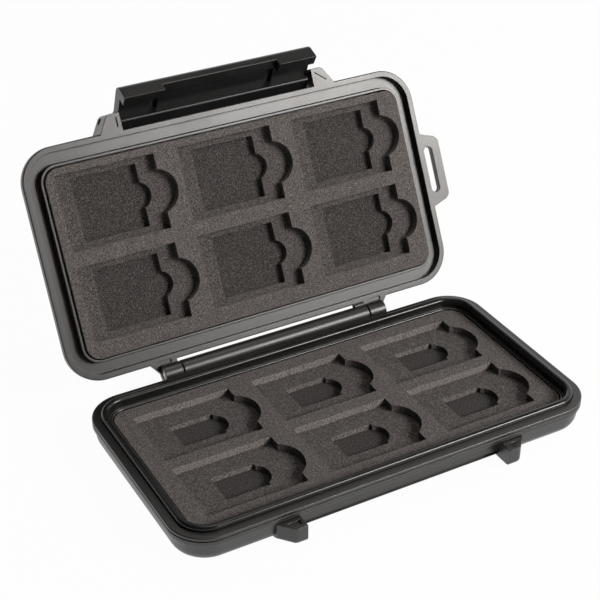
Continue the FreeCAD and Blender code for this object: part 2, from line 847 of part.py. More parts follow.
# Latch, drawn closed about its own pivot: y toward the case, z up
latch = new_body("latch")
latch_back = size("latch_front") - size("latch_plate")
hook_under = LATCH_Z - FLANGE_FOOT + size("hook_clearance")
hook_end = hook_under + size("hook_height")
plate_sketch = new_sketch(latch, "latch_profile", "YZ_Plane")
outline(plate_sketch, [
    (latch_back, Size.of(0)),
    (latch_back, size("latch_corner") - hook_end, size("latch_corner")),
    (latch_back + size("latch_corner") * 0.8, -hook_end),
    (size("latch_front") + size("hook_overhang") + size("hook_slant"), -hook_end),
    (size("latch_front") + size("hook_overhang"), -hook_under),
    (size("latch_front"), -hook_under),
    (size("latch_front"), Size.of(0)),
])
pad(latch, "latch_plate", plate_sketch, size("latch_length"), middle=True)
eye_sketch = new_sketch(latch, "latch_eye_outline", "YZ_Plane")
circle(eye_sketch, Size.of(0), Size.of(0), size("latch_eye"))
pad(latch, "latch_eye", eye_sketch, size("latch_length"), middle=True)

# Bar along the pivot, on the side of the lid
bar_sketch = new_sketch(latch, "latch_bar_outline", "YZ_Plane")
outline(bar_sketch, [
    (Size.of(0), -size("block_foot")),
    (size("block_reach"), -size("block_foot")),
    (size("block_reach"), size("block_head")),
    (Size.of(0), size("block_head")),
])
pad(latch, "latch_bar", bar_sketch, size("latch_length"), middle=True)
fillet(latch, "latch_bar_round", lambda p: near(p.y, size("block_reach")), size("block_round"))

# Gap between the two hook lips, slots in the plate, bore
cut_sketch = new_sketch(latch, "latch_lip_cut_outline", "YZ_Plane")
outline(cut_sketch, [
    (size("latch_front") + size("hook_overhang") - size("hook_cut"), -hook_end - size("overcut")),
    (size("latch_front") + size("hook_overhang") + 2 * size("overcut"), -hook_end - size("overcut")),
    (size("latch_front") + size("hook_overhang") + 2 * size("overcut"), size("overcut") - hook_under),
    (size("latch_front") + size("hook_overhang") - size("hook_cut"), size("overcut") - hook_under),
])
pocket(
    latch,
    "latch_lip_cut",
    cut_sketch,
    size("latch_length") - 2 * size("hook_length"),
    middle=True,
)
slot_sketch = new_sketch(latch, "latch_slot_outline", "XZ_Plane", -size("latch_eye") - size("overcut"))
for side in (1, -1):
    slot_x = side * size("slot_spacing") / 2 - size("slot_shift")
    slot_edge = size("slot_width") / 2
    outline(slot_sketch, [
        (slot_x - slot_edge, -hook_under),
        (slot_x + slot_edge, -hook_under),
        (slot_x + slot_edge, -size("block_foot")),
        (slot_x - slot_edge, -size("block_foot")),
    ])
slot_reach = size("latch_eye") + size("overcut") - size("latch_front") + size("slot_depth")
pocket(latch, "latch_slots", slot_sketch, slot_reach, back=True)
latch_bore_sketch = new_sketch(latch, "latch_bore_outline", "YZ_Plane")
circle(latch_bore_sketch, Size.of(0), Size.of(0), LATCH_BORE)
pocket(latch, "latch_bore", latch_bore_sketch, size("latch_length") + 2 * size("overcut"), middle=True)
latch_turn = LID_TURN - size("latch_open")
latch.Placement = FreeCAD.Placement(
    FreeCAD.Vector(0, 0, 0), FreeCAD.Rotation(FreeCAD.Vector(1, 0, 0), latch_turn.value)
)
pivot_y, pivot_z = turned(-LATCH_Y, LATCH_Z)
bind(latch, "Placement.Base.y", pivot_y)
bind(latch, "Placement.Base.z", pivot_z)
bind(latch, "Placement.Rotation.Angle", latch_turn)


def rod(name, radius, length, y, z):
    """A steel pin along X, centred on the case."""
    pin = doc.addObject("Part::Cylinder", name)
    pin.Label = name
    bind(pin, "Radius", radius)
    bind(pin, "Height", length)
    pin.Placement = FreeCAD.Placement(
        FreeCAD.Vector(0, 0, 0), FreeCAD.Rotation(FreeCAD.Vector(0, 1, 0), 90)
    )
    bind(pin, "Placement.Base.x", -length / 2)
    bind(pin, "Placement.Base.y", y)
    bind(pin, "Placement.Base.z", z)
    return pin


hinge_pin = rod(
    "hinge_pin",
    size("hinge_pin_radius"),
    2 * (KNUCKLE_INNER + size("knuckle_length") - size("hinge_pin_recess")),
    AXIS_Y,
    AXIS_Z,
)
latch_pin = rod(
    "latch_pin",
    size("latch_pin_radius"),
    2 * (EAR_INNER + size("ear_tip") - size("latch_pin_recess")),
    pivot_y,
    pivot_z,
)
doc.recompute()

# Check and write every piece
PIECES = [
    base, seal, base_liner, base_foam_top, base_foam_middle, base_foam_backing, hinge_pin,
    lid, lid_liner, lid_foam_top, lid_foam_middle, lid_foam_backing, latch_pin, latch,
]
for item in doc.Objects:
    if "Invalid" in item.State or "Error" in item.State:
        raise RuntimeError(f"{item.Label} did not build: {item.State}")
os.makedirs("parts", exist_ok=True)
for piece in PIECES:
    shape = piece.Shape
    if shape.isNull() or not shape.isValid() or len(shape.Solids) != 1:
        raise RuntimeError(f"{piece.Label} is not one sound solid")
    shape.exportStep(f"parts/{piece.Label}.step")
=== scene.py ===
"""Looks of the open memory card case: moulded shells, foam pads, studio and camera."""
import json
import logging
import math
from dataclasses import dataclass
from enum import Enum
from itertools import combinations
from typing import Any, Dict, List, Optional, Sequence, Set, Tuple, Union

import bmesh
import bpy
from mathutils import Matrix, Vector, noise


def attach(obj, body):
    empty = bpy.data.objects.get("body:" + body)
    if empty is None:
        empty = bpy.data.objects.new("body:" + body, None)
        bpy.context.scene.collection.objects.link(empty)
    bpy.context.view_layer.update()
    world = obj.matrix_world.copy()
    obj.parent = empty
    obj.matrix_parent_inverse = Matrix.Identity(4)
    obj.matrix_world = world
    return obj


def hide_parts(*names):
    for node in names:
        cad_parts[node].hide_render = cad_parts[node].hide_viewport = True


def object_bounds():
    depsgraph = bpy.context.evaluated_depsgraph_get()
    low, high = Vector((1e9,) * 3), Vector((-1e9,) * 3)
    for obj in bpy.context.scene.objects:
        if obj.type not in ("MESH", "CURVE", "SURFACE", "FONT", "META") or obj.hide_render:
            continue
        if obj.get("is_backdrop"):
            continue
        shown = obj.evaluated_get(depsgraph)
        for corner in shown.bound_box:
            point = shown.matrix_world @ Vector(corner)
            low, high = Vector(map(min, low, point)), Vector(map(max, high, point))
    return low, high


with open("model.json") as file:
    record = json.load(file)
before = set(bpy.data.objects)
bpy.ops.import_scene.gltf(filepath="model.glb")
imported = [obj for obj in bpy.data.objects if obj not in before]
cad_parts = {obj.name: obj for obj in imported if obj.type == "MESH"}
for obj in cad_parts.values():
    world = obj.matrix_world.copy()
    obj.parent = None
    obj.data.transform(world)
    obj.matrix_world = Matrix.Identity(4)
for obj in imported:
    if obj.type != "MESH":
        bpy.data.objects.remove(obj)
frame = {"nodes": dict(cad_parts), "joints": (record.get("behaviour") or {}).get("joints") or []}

LOG = logging.getLogger("card_case")
Colour = Tuple[float, float, float]
Place = Tuple[float, float, float]
MM = 0.001

# Surface patterns
NOISE_SPAN = (0.3, 0.7)
CLOUD_SIZE = 14 * MM
GRAIN_STRENGTH = 0.35
CELL_DEPTH = 0.2 * MM
CELL_STRENGTH = 0.4
CELL_STOPS = (0.4, 0.58, 0.72)
# How strongly the painted shade of a deeper sheet darkens each colour stop, from cell to wall to fleck
CELL_POWERS = (1.5, 1.0, 0.5)

# Cut foam: the painted light and shade of its walls by the way they face, then the seed and step of a
# cut, and its waves by length and height
PAINTED_WALL_LIGHT_LAYER = "cut_painted_light"
FLAT_NORMAL = 0.5
# Painted light for cut walls that face forward, painted shade for those that face left
FRONT_WALL_PAINTED_LIGHT = 0.9
LEFT_WALL_PAINTED_SHADE = 0.5
CUT_SEED = 5
CUT_STEP = 0.9 * MM
CUT_WAVES = ((7 * MM, 0.2 * MM), (1 * MM, 0.05 * MM))
NOTCH_STEPS = 20
CORNER_STEPS = 12

# Broken edges of the mouldings
MERGE_DISTANCE = 0.002 * MM
SLIVER_SIZE = 0.001 * MM
FLAT_ANGLE = math.radians(0.4)
SHARP_ANGLE = math.radians(32)
NARROW_ANGLE = math.radians(50)
SMOOTH_ANGLE = math.radians(40)


class Body(Enum):
    """The bodies of the part that pieces ride on."""

    BASE = "base"
    LID = "lid"
    LATCH = "latch"


class Slot(Enum):
    """Material slots of the record."""

    SHELL = "shell_plastic"
    TRAY = "tray_plastic"
    SEAL = "seal_rubber"
    FOAM = "foam"


class PaintedShade(Enum):
    """Painted shade of a foam sheet by its depth in the pad: the deeper sheets of the same foam are
    made darker, standing in for the shade in the pockets.
    """

    FACE = 1.0
    STEP = 0.78
    FLOOR = 0.52
    DEEP = 0.4


class NodeGraph:
    """A material's node tree with short calls for adding and joining nodes."""

    def __init__(self, name: str) -> None:
        """Start a material with one principled shader.

        Args:
            name: Name of the material.
        """
        self.material = bpy.data.materials.new(name)
        self.material.use_nodes = True
        self.tree = self.material.node_tree
        self.shader = self.tree.nodes["Principled BSDF"]

    def add(self, kind: str, **settings: Any) -> bpy.types.Node:
        """Add a node.

        Args:
            kind: Blender's type name of the node.
            settings: Properties of the node, set by name.

        Returns:
            The new node.
        """
        node = self.tree.nodes.new(kind)
        for name, value in settings.items():
            setattr(node, name, value)
        return node

    def join(self, source: bpy.types.NodeSocket, target: bpy.types.NodeSocket) -> None:
        """Link one socket to another."""
        self.tree.links.new(source, target)

    def speckle(self, grain: float, detail: float, roughness: float) -> bpy.types.NodeSocket:
        """Add a noise pattern laid on the piece's own place.

        Args:
            grain: Size of one grain, in metres.
            detail: Number of finer layers.
            roughness: Strength of the finer layers.

        Returns:
            The pattern's factor socket.
        """
        place = self.add("ShaderNodeTexCoord")
        pattern = self.add("ShaderNodeTexNoise")
        pattern.inputs["Scale"].default_value = 1 / grain
        pattern.inputs["Detail"].default_value = detail
        pattern.inputs["Roughness"].default_value = roughness
        self.join(place.outputs["Object"], pattern.inputs["Vector"])
        return pattern.outputs["Fac"]

    def ramp(
        self, factor: bpy.types.NodeSocket, stops: Sequence[Tuple[float, Colour]]
    ) -> bpy.types.NodeSocket:
        """Turn a factor into a run of colours.

        Args:
            factor: Socket that drives the run.
            stops: Place on the factor and colour of each stop, from low to high.

        Returns:
            The colour socket.
        """
        node = self.add("ShaderNodeValToRGB")
        elements = node.color_ramp.elements
        elements.remove(elements[1])
        elements[0].position = stops[0][0]
        elements[0].color = (*stops[0][1], 1)
        for place, colour in stops[1:]:
            elements.new(place).color = (*colour, 1)
        self.join(factor, node.inputs["Fac"])
        return node.outputs["Color"]

    def spread(self, factor: bpy.types.NodeSocket, low: float, high: float) -> bpy.types.NodeSocket:
        """Stretch a noise factor between two numbers.

        Args:
            factor: Socket of the noise.
            low: Number at the low end of the noise.
            high: Number at its high end.

        Returns:
            The result socket.
        """
        stretch = self.add("ShaderNodeMapRange")
        limits = {"From Min": NOISE_SPAN[0], "From Max": NOISE_SPAN[1], "To Min": low, "To Max": high}
        for name, value in limits.items():
            stretch.inputs[name].default_value = value
        self.join(factor, stretch.inputs["Value"])
        return stretch.outputs["Result"]

    def relief(self, factor: bpy.types.NodeSocket, depth: float, strength: float) -> None:
        """Let a factor raise the surface.

        Args:
            factor: Height pattern.
            depth: Height of the relief, in metres.
            strength: Share of the relief that shows.
        """
        bump = self.add("ShaderNodeBump")
        bump.inputs["Strength"].default_value = strength
        bump.inputs["Distance"].default_value = depth
        self.join(factor, bump.inputs["Height"])
        self.join(bump.outputs["Normal"], self.shader.inputs["Normal"])

    def set(self, **values: float) -> None:
        """Set plain numbers on the shader, with underscores for the spaces in socket names."""
        for name, value in values.items():
            self.shader.inputs[name.replace("_", " ")].default_value = value


@dataclass(frozen=True)
class MouldedFinish:
    """Satin moulded plastic or rubber with a fine grain and a faint unevenness."""

    name: str
    dark: Colour
    light: Colour
    gloss: Tuple[float, float]
    grain: float
    depth: float
    specular: float

    def material(self) -> bpy.types.Material:
        """Build the finish.

        Returns:
            The finish's material.
        """
        graph = NodeGraph(self.name)
        cloud = graph.speckle(CLOUD_SIZE, detail=3, roughness=0.55)
        tint = graph.ramp(cloud, tuple(zip(NOISE_SPAN, (self.dark, self.light))))
        graph.join(tint, graph.shader.inputs["Base Color"])
        graph.join(graph.spread(cloud, *self.gloss), graph.shader.inputs["Roughness"])
        grains = graph.speckle(self.grain, detail=2, roughness=0.5)
        graph.relief(grains, self.depth, GRAIN_STRENGTH)
        graph.set(Specular_IOR_Level=self.specular)
        return graph.material


@dataclass(frozen=True)
class FoamFinish:
    """Open-cell foam: a fine speckle of dark cells and lighter walls, with painted shade by the sheet's
    depth and painted light and shade on its cut walls.
    """

    name: str
    dark: Colour
    light: Colour
    fleck: Colour
    cell: float

    def stops(self, strength: float) -> Tuple[Tuple[float, Colour], ...]:
        """Give the run of colours from cell to wall to fleck.

        Args:
            strength: Painted shade of the run, darker for deeper sheets; a darker one keeps more of its
                contrast.

        Returns:
            Place and colour of each stop.
        """
        run = zip(CELL_STOPS, (self.dark, self.light, self.fleck), CELL_POWERS)
        return tuple(
            (place, tuple(part * strength ** power for part in colour)) for place, colour, power in run
        )

    def material(self, shade: PaintedShade) -> bpy.types.Material:
        """Build the finish in one painted shade.

        Args:
            shade: Painted shade of the foam, darker for deeper sheets.

        Returns:
            The finish's material.
        """
        graph = NodeGraph(f"{self.name}_{shade.name.lower()}")
        cells = graph.speckle(self.cell, detail=3, roughness=0.75)
        # The painted light and shade of the cut walls, read from the mesh, multiplies the colour run,
        # which carries the sheet's painted shade.
        painted_wall_light = graph.add("ShaderNodeAttribute", attribute_name=PAINTED_WALL_LIGHT_LAYER)
        painted_light_colour = graph.add("ShaderNodeMix", data_type="RGBA", blend_type="MULTIPLY")
        painted_light_colour.inputs["Factor"].default_value = 1.0
        graph.join(graph.ramp(cells, self.stops(shade.value)), painted_light_colour.inputs["A"])
        graph.join(painted_wall_light.outputs["Fac"], painted_light_colour.inputs["B"])
        graph.join(painted_light_colour.outputs["Result"], graph.shader.inputs["Base Color"])
        graph.relief(cells, CELL_DEPTH, CELL_STRENGTH)
        graph.set(Roughness=0.95, Specular_IOR_Level=0.15, Sheen_Weight=0.08, Sheen_Roughness=0.6)
        return graph.material


@dataclass(frozen=True)
class SteelFinish:
    """Plain drawn steel rod with fine lines along its length."""

    name: str
    colour: Colour
    gloss: Tuple[float, float]
    lines_per_metre: Place

    def material(self) -> bpy.types.Material:
        """Build the finish.

        Returns:
            The finish's material.
        """
        graph = NodeGraph(self.name)
        place = graph.add("ShaderNodeTexCoord")
        turn = graph.add("ShaderNodeMapping")
        turn.inputs["Scale"].default_value = self.lines_per_metre
        lines = graph.add("ShaderNodeTexNoise")
        graph.join(place.outputs["Object"], turn.inputs["Vector"])
        graph.join(turn.outputs["Vector"], lines.inputs["Vector"])
        graph.join(graph.spread(lines.outputs["Fac"], *self.gloss), graph.shader.inputs["Roughness"])
        graph.shader.inputs["Base Color"].default_value = (*self.colour, 1)
        graph.set(Metallic=1.0)
        return graph.material


Finish = Union[MouldedFinish, FoamFinish, SteelFinish]


class Palette:
    """The materials made so far, one for each finish and painted shade."""

    def __init__(self) -> None:
        """Start without materials."""
        self.made: Dict[Tuple[Any, ...], bpy.types.Material] = {}

    def material(self, finish: Finish, *shade: PaintedShade) -> bpy.types.Material:
        """Give the material of a finish, made at its first use.

        Args:
            finish: The finish asked for.
            shade: Painted shade of the finish, by the sheet's depth, for foam alone.

        Returns:
            The finish's material.
        """
        key = (finish, *shade)
        if key not in self.made:
            self.made[key] = finish.material(*shade)
        return self.made[key]


SHELL_FINISH = MouldedFinish(
    name="satin_black_moulding",
    dark=(0.0125, 0.0112, 0.01),
    light=(0.0178, 0.016, 0.0144),
    gloss=(0.34, 0.39),
    grain=0.35 * MM,
    depth=0.04 * MM,
    specular=0.8,
)
LATCH_FINISH = MouldedFinish(
    name="black_latch_moulding",
    dark=(0.006, 0.006, 0.006),
    light=(0.011, 0.011, 0.011),
    gloss=(0.3, 0.38),
    grain=0.22 * MM,
    depth=0.02 * MM,
    specular=0.45,
)
TRAY_FINISH = MouldedFinish(
    name="black_tray",
    dark=(0.016, 0.016, 0.016),
    light=(0.024, 0.024, 0.024),
    gloss=(0.13, 0.19),
    grain=0.3 * MM,
    depth=0.01 * MM,
    specular=0.9,
)
SEAL_FINISH = MouldedFinish(
    name="black_seal_rubber",
    dark=(0.006, 0.006, 0.006),
    light=(0.01, 0.01, 0.01),
    gloss=(0.2, 0.26),
    grain=0.3 * MM,
    depth=0.01 * MM,
    specular=0.5,
)
FOAM_FINISH = FoamFinish(
    name="charcoal_foam",
    dark=(0.045, 0.04, 0.038),
    light=(0.16, 0.142, 0.136),
    fleck=(0.3, 0.275, 0.266),
    cell=0.4 * MM,
)
STEEL_FINISH = SteelFinish(
    name="drawn_steel",
    colour=(0.5, 0.5, 0.51),
    gloss=(0.28, 0.42),
    lines_per_metre=(40, 4000, 4000),
)


def new_piece(name: str, mesh: bpy.types.Mesh, finish: bpy.types.Material) -> bpy.types.Object:
    """Put a mesh into the scene as an object of its own.

    Args:
        name: Name of the piece.
        mesh: Mesh with its place already in its vertices.
        finish: Material of the whole piece.

    Returns:
        The new object at the origin.
    """
    piece = bpy.data.objects.new(name, mesh)
    bpy.context.scene.collection.objects.link(piece)
    mesh.materials.clear()
    mesh.materials.append(finish)
    return piece


def opening_turn() -> Matrix:
    """Work out the lid's turn from closed to open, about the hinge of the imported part.

    Returns:
        The turn, for points of the closed lid.
    """
    hinge = next(joint for joint in frame["joints"] if joint["name"] == "lid_hinge")
    pivot = Matrix.Translation(Vector(hinge["pos_m"]))
    turn = Matrix.Rotation(-math.radians(hinge["range_deg"][1]), 4, Vector(hinge["axis"]))
    return pivot @ turn @ pivot.inverted()


@dataclass(frozen=True)
class Window:
    """A card window with a half-moon finger notch on its right side."""

    length: float
    width: float
    chord: float
    radius: float

    def draw(self, shape: bmesh.types.BMesh, centre: Vector) -> None:
        """Draw the window's outline as loose edges.

        Args:
            shape: Mesh that takes the edges.
            centre: Middle of the window without its notch.
        """
        x = self.length / 2
        y = self.width / 2
        notch = self.chord / 2
        hub = centre + Vector((x - math.sqrt(self.radius ** 2 - notch ** 2), 0, 0))
        corners = [
            bmesh.ops.create_vert(shape, co=centre + Vector((*spot, 0)))["vert"][0]
            for spot in ((x, y), (-x, y), (-x, -y), (x, -y), (x, -notch))
        ]
        arc = bmesh.ops.spin(
            shape, geom=[corners[-1]], cent=hub, axis=(0, 0, 1), steps=NOTCH_STEPS,
            angle=2 * math.asin(notch / self.radius),
        )
        finish = next(item for item in arc["geom_last"] if isinstance(item, bmesh.types.BMVert))
        for first, second in zip([finish] + corners[:-1], corners):
            bmesh.ops.contextual_create(shape, geom=[first, second])


@dataclass(frozen=True)
class FoamSheet:
    """One sheet of a foam pad, drawn as it lies in the closed case."""

    node: str
    low: float
    thickness: float
    window: Optional[Window]
    # Painted shade of the sheet: deeper sheets are darker, standing in for the shade in the pockets
    shade: PaintedShade

    def outline(self, shape: bmesh.types.BMesh, size: Vector, corner: float) -> None:
        """Draw the pad's rounded rectangle as loose edges.

        Args:
            shape: Mesh that takes the edges.
            size: Length and width of the pad.
            corner: Corner radius.
        """
        stretch = Matrix.Diagonal((size.x, size.y, 1, 1))
        bmesh.ops.create_grid(shape, x_segments=1, y_segments=1, size=0.5, matrix=stretch)
        bmesh.ops.bevel(
            shape, geom=shape.verts[:], offset=corner, offset_type="OFFSET", segments=CORNER_STEPS,
            profile=0.5, affect="VERTICES", material=-1,
        )
        bmesh.ops.delete(shape, geom=shape.faces[:], context="FACES_ONLY")

    def roughen(self, shape: bmesh.types.BMesh, border: Set[bmesh.types.BMVert]) -> None:
        """Make the windows' cut lines slightly uneven, as the edges of cut foam are.

        Args:
            shape: Mesh with the outlines as loose edges.
            border: Corners of the pad's own outline, which stays straight.
        """
        for edge in [edge for edge in shape.edges if border.isdisjoint(edge.verts)]:
            cuts = int(edge.calc_length() / CUT_STEP)
            if cuts:
                bmesh.ops.subdivide_edges(shape, edges=[edge], cuts=cuts)
        for vert in shape.verts:
            if vert not in border:
                waves = [noise.noise_vector(vert.co / length) * height for length, height in CUT_WAVES]
                vert.co += sum(waves, Vector()) * Vector((1, 1, 0))

    def painted_wall_light(self, normal: Vector) -> float:
        """Painted light and shade of a face, on top of the sheet's painted shade.

        Args:
            normal: The way the face looks, in the closed case.

        Returns:
            One for the flat faces, more as painted light for cut walls that look forward, less as
            painted shade for those that look left.
        """
        if abs(normal.z) > FLAT_NORMAL:
            return 1.0
        return 1.0 + FRONT_WALL_PAINTED_LIGHT * max(0.0, -normal.y) - LEFT_WALL_PAINTED_SHADE * max(0.0, -normal.x)

    def build(self, size: Vector, corner: float, spots: List[Vector]) -> bpy.types.Mesh:
        """Cut the sheet with slightly uneven windows.

        Args:
            size: Length and width of the pad.
            corner: Corner radius of the pad.
            spots: Centres of the windows.

        Returns:
            The sheet's mesh, as it lies in the closed case.
        """
        shape = bmesh.new()
        self.outline(shape, size, corner)
        border = set(shape.verts)
        if self.window:
            for spot in spots:
                self.window.draw(shape, spot)
        self.roughen(shape, border)
        bmesh.ops.triangle_fill(shape, use_beauty=True, edges=shape.edges[:], normal=(0, 0, 1))
        raised = bmesh.ops.extrude_face_region(shape, geom=shape.faces[:])["geom"]
        top = [item for item in raised if isinstance(item, bmesh.types.BMVert)]
        bmesh.ops.translate(shape, verts=top, vec=(0, 0, self.thickness))
        bmesh.ops.translate(shape, verts=shape.verts[:], vec=(0, 0, self.low))
        bmesh.ops.recalc_face_normals(shape, faces=shape.faces[:])
        # Paint light and shade onto each cut wall by the way it faces.
        painted_wall_layer = shape.faces.layers.float.new(PAINTED_WALL_LIGHT_LAYER)
        for face in shape.faces:
            face[painted_wall_layer] = self.painted_wall_light(face.normal)
        sheet = bpy.data.meshes.new(f"{self.node}_cut")
        shape.to_mesh(sheet)
        shape.free()
        return sheet


@dataclass(frozen=True)
class FoamPad:
    """The stack of foam sheets in one half of the case."""

    pitch: Tuple[float, float]
    shift: Tuple[float, float]
    size: Vector
    corner: float
    sheets: Tuple[FoamSheet, ...]

    def spots(self) -> List[Vector]:
        """Find the centres of the pad's windows.

        Returns:
            Six places, in two rows of three.
        """
        return [
            Vector((column * self.pitch[0] - self.shift[0], row * self.pitch[1] - self.shift[1], 0))
            for row in (-0.5, 0.5)
            for column in (-1, 0, 1)
        ]

    def build(self, body: Body, palette: Palette) -> None:
        """Make every sheet of the pad and seat it in its half.

        Args:
            body: Body that the pad rides on.
            palette: Maker of the materials.
        """
        for sheet in self.sheets:
            mesh = sheet.build(self.size, self.corner, self.spots())
            if body is Body.LID:
                mesh.transform(opening_turn())
            piece = new_piece(f"{sheet.node}_soft", mesh, palette.material(FOAM_FINISH, sheet.shade))
            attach(piece, body.value)
            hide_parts(sheet.node)
            LOG.info("%s: %d faces", piece.name, len(mesh.polygons))


@dataclass(frozen=True)
class Moulding:
    """A moulded piece that keeps the part's shape and gets its sharp edges broken."""

    node: str
    slot: Slot
    finish: MouldedFinish
    edge: float

    def breakable(self, shape: bmesh.types.BMesh) -> List[bmesh.types.BMEdge]:
        """Find the outer edges that can be broken cleanly.

        Args:
            shape: Mesh of the piece.

        Returns:
            Sharp outer edges, without those that meet another at a narrow angle.
        """
        sharp = [
            edge for edge in shape.edges
            if edge.is_manifold and edge.is_convex and edge.calc_face_angle(0.0) > SHARP_ANGLE
        ]
        meeting: Dict[bmesh.types.BMVert, List[Vector]] = {}
        for edge in sharp:
            for vert in edge.verts:
                meeting.setdefault(vert, []).append(edge.other_vert(vert).co - vert.co)
        crowded = {
            vert for vert, arms in meeting.items()
            if any(first.angle(second) < NARROW_ANGLE for first, second in combinations(arms, 2))
        }
        return [edge for edge in sharp if crowded.isdisjoint(edge.verts)]

    def shaped(self) -> bpy.types.Mesh:
        """Copy the part's own mesh and break its edges.

        Returns:
            The new mesh.
        """
        shape = bmesh.new()
        shape.from_mesh(frame["nodes"][self.node].data)
        bmesh.ops.remove_doubles(shape, verts=shape.verts[:], dist=MERGE_DISTANCE)
        bmesh.ops.dissolve_limit(
            shape, angle_limit=FLAT_ANGLE, verts=shape.verts[:], edges=shape.edges[:],
            use_dissolve_boundaries=False, delimit=set(),
        )
        bmesh.ops.bevel(
            shape, geom=self.breakable(shape), offset=self.edge, offset_type="OFFSET", segments=2,
            profile=0.5, affect="EDGES", material=-1, clamp_overlap=False, loop_slide=True,
        )
        bmesh.ops.remove_doubles(shape, verts=shape.verts[:], dist=SLIVER_SIZE)
        bmesh.ops.dissolve_degenerate(shape, dist=SLIVER_SIZE, edges=shape.edges[:])
        mesh = bpy.data.meshes.new(f"{self.node}_moulding")
        shape.to_mesh(mesh)
        shape.free()
        mesh.shade_smooth()
        mesh.set_sharp_from_angle(angle=SMOOTH_ANGLE)
        return mesh

    def build(self, body: Body, palette: Palette) -> None:
        """Make the piece and dress it.

        Args:
            body: Body that the piece rides on.
            palette: Maker of the materials.
        """
        mesh = self.shaped()
        piece = new_piece(f"{self.node}_moulding", mesh, palette.material(self.finish))
        even = piece.modifiers.new("even_shading", "WEIGHTED_NORMAL")
        even.keep_sharp = True
        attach(piece, body.value)
        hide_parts(self.node)
        LOG.info("%s: %d faces", piece.name, len(mesh.polygons))


@dataclass(frozen=True)
class Rod:
    """A steel pin that keeps the part's own mesh."""

    node: str
    finish: SteelFinish

    def dress(self, palette: Palette) -> None:
        """Give the pin its finish.

        Args:
            palette: Maker of the materials.
        """
        materials = frame["nodes"][self.node].data.materials
        materials.clear()
        materials.append(palette.material(self.finish))
        LOG.info("%s: dressed as steel", self.node)


@dataclass(frozen=True)
class SubAssembly:
    """The pieces that ride on one body of the case."""

    body: Body
    mouldings: Tuple[Moulding, ...]
    pads: Tuple[FoamPad, ...] = ()
    rods: Tuple[Rod, ...] = ()

    def build(self, palette: Palette) -> None:
        """Make the pieces and dress them.

        Args:
            palette: Maker of the materials.
        """
        for piece in (*self.mouldings, *self.pads):
            piece.build(self.body, palette)
        for rod in self.rods:
            rod.dress(palette)


@dataclass(frozen=True)
class Softbox:
    """A large soft lamp aimed at the case."""

    name: str
    spot: Place
    aim: Place
    size: Tuple[float, float]
    power: float
    colour: Colour

    def build(self) -> None:
        """Hang the lamp and turn it to its aim."""
        data = bpy.data.lights.new(self.name, "AREA")
        data.shape = "RECTANGLE"
        data.size, data.size_y = self.size
        data.energy = self.power
        data.color = self.colour
        lamp = bpy.data.objects.new(self.name, data)
        lamp.location = self.spot
        lamp.rotation_euler = (Vector(self.aim) - Vector(self.spot)).to_track_quat("-Z", "Y").to_euler()
        bpy.context.scene.collection.objects.link(lamp)


